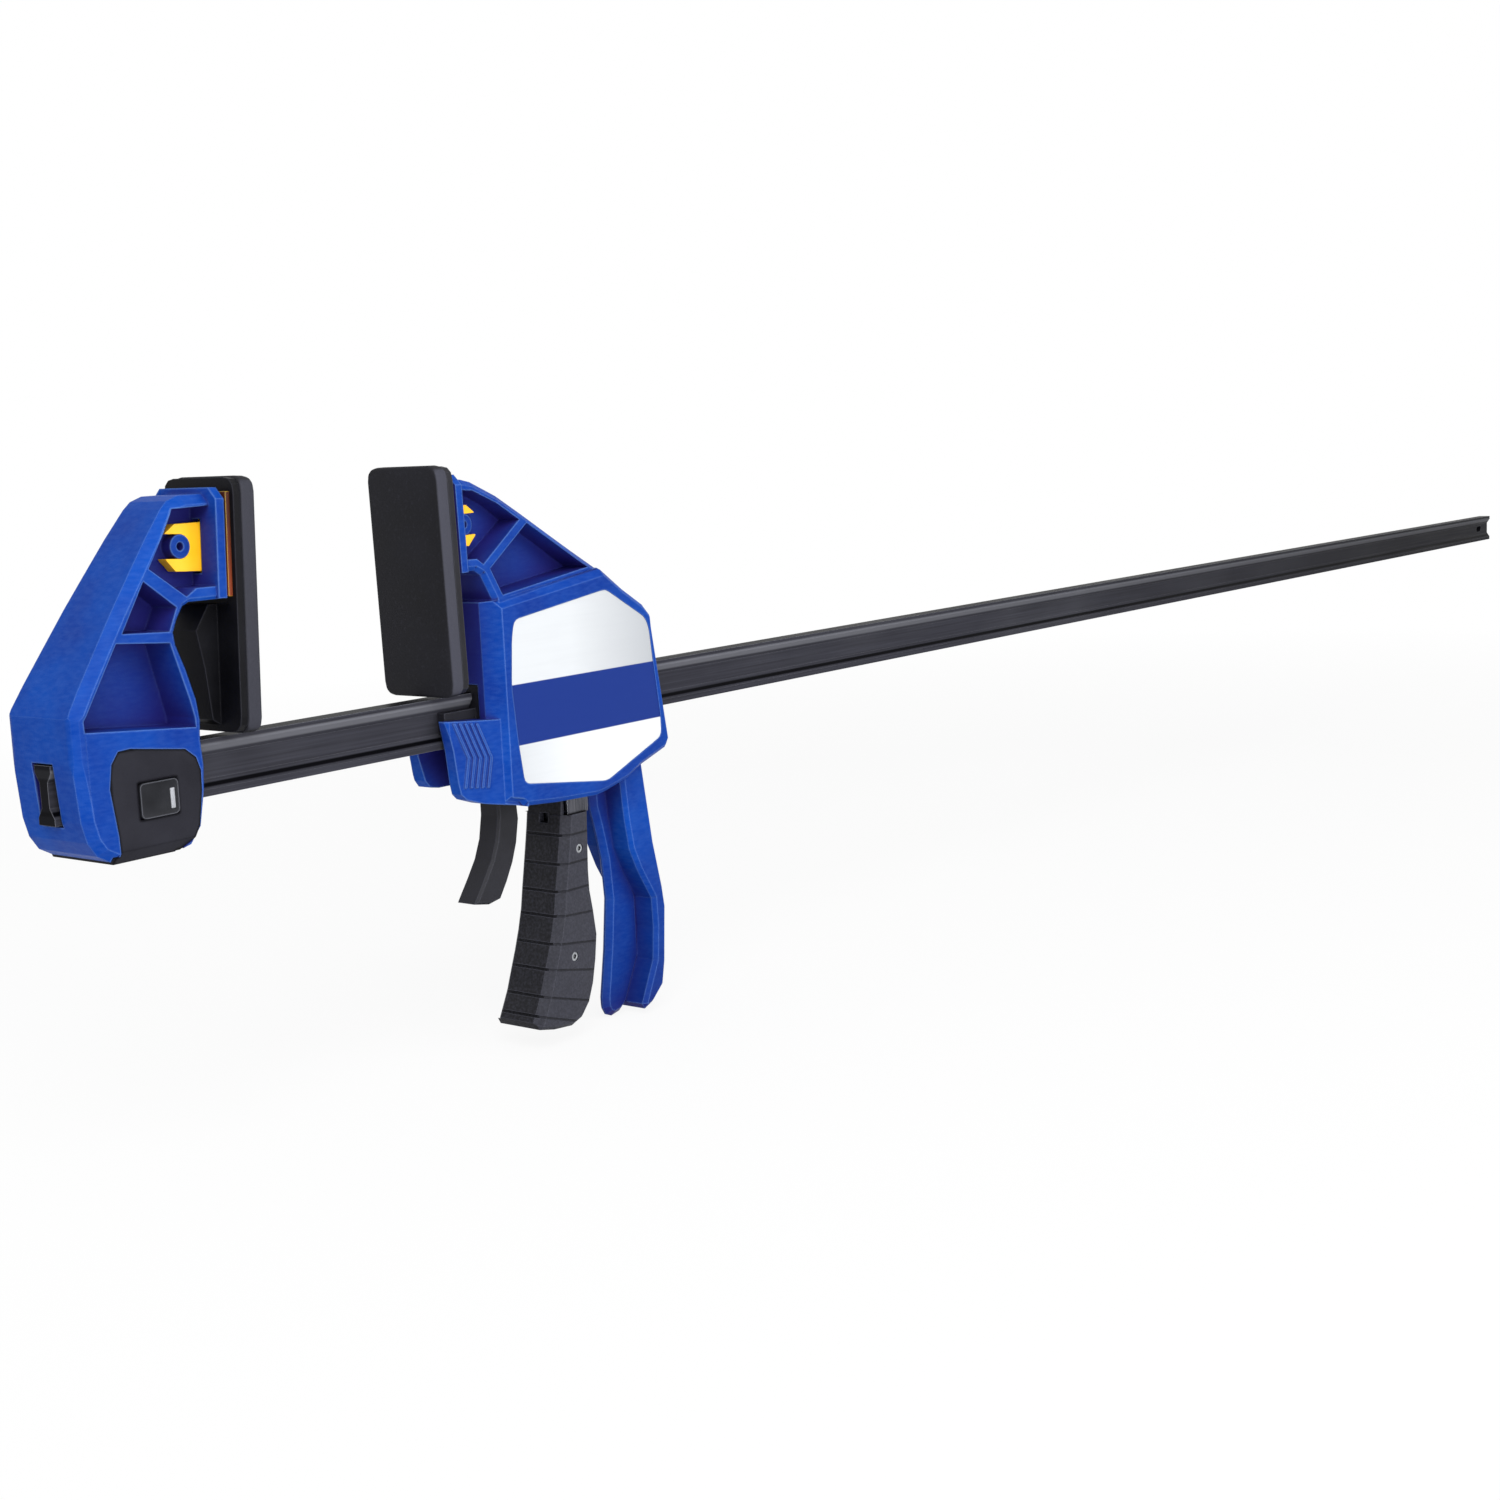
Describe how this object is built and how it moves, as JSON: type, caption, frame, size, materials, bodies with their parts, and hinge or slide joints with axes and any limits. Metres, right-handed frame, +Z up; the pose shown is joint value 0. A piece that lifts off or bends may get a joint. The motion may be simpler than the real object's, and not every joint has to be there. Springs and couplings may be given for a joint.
{
  "type": "one-handed quick release bar clamp",
  "caption": "Long bar clamp with soft pads: squeeze the trigger to close the sliding jaw along the I-section bar, pull the lever to free it, press the button to take off the fixed jaw.",
  "frame": {"origin": "on the bar's top face, in its middle plane, under the foot of the fixed pad's face", "axes": "+X along the bar from the fixed jaw towards its free end, +Z up from the bar to the jaw tips, +Y completes a right-handed set (the button is on the -Y side)"},
  "size_m": [1.497, 0.0399, 0.2488],
  "materials": {
    "bar_steel": "dark satin",
    "blue_plastic": "semi-gloss",
    "dark_plastic": "satin",
    "black_plastic": "satin",
    "grip_plastic": "textured matte",
    "yellow_plastic": "gloss",
    "pad_rubber": "matte",
    "label_film": "satin silver with a blue band, no print",
    "bright_steel": "zinc plated",
    "arm_steel": "dark",
    "spring_steel": "bright"
  },
  "bodies": {
    "bar_and_fixed_jaw": {"bar": "bar_steel", "fixed_jaw": "blue_plastic", "lock_cover": "dark_plastic", "lock_spring": "spring_steel"},
    "lock": {"lock_button": "dark_plastic", "lock_yoke": "bright_steel", "lock_key": "bright_steel"},
    "fixed_pad_set": {"fixed_carrier": "yellow_plastic", "fixed_backing": "black_plastic", "fixed_pad": "pad_rubber"},
    "sliding_jaw": {"moving_jaw": "blue_plastic", "label_near": "label_film", "label_far": "label_film", "front_guide": "black_plastic", "rear_guide": "black_plastic", "trigger_pin": "bright_steel", "drive_spring": "spring_steel", "brake_spring": "spring_steel"},
    "moving_pad_set": {"moving_carrier": "yellow_plastic", "moving_backing": "black_plastic", "moving_pad": "pad_rubber"},
    "trigger": {"trigger_arm": "arm_steel", "trigger_grip": "grip_plastic", "trigger_screws": "spring_steel"},
    "drive": {"drive_plates": "bright_steel"},
    "release": {"brake_plate": "bright_steel", "release_lever": "grip_plastic"}
  },
  "joints": [
    {"name": "lock_press", "type": "slide", "parent": "bar_and_fixed_jaw", "child": "lock", "axis": [0, 1, 0], "range_m": [0, 0.003], "stiffness_N_per_m": 800, "springref_m": -0.003, "deforming": ["lock_spring"]},
    {"name": "fixed_pad_tilt", "type": "hinge", "parent": "bar_and_fixed_jaw", "child": "fixed_pad_set", "pos_m": [-0.02108, 0, 0.069], "axis": [0, 1, 0], "range_deg": [-2, 2]},
    {"name": "jaw_slide", "type": "slide", "parent": "bar_and_fixed_jaw", "child": "sliding_jaw", "axis": [1, 0, 0], "range_m": [-0.088, 1.18]},
    {"name": "moving_pad_tilt", "type": "hinge", "parent": "sliding_jaw", "child": "moving_pad_set", "pos_m": [0.11867, 0, 0.06838], "axis": [0, 1, 0], "range_deg": [-2, 2]},
    {"name": "trigger_squeeze", "type": "hinge", "parent": "sliding_jaw", "child": "trigger", "pos_m": [0.1597, 0, 0.015], "axis": [0, -1, 0], "range_deg": [0, 8], "stiffness_Nm_per_rad": 1.5, "springref_deg": -22.92},
    {"name": "drive_push", "type": "slide", "parent": "sliding_jaw", "child": "drive", "axis": [1, 0, 0], "range_m": [0, 0.0055], "deforming": ["drive_spring"]},
    {"name": "release_pull", "type": "hinge", "parent": "sliding_jaw", "child": "release", "pos_m": [0.1372, 0, 0.012], "axis": [0, -1, 0], "range_deg": [0, 5], "stiffness_Nm_per_rad": 1, "springref_deg": -22.92, "deforming": ["brake_spring"]}
  ],
  "couplings": [
    {"joint": "drive_push", "follows": "trigger_squeeze", "m_per_rad": 0.037}
  ]
}
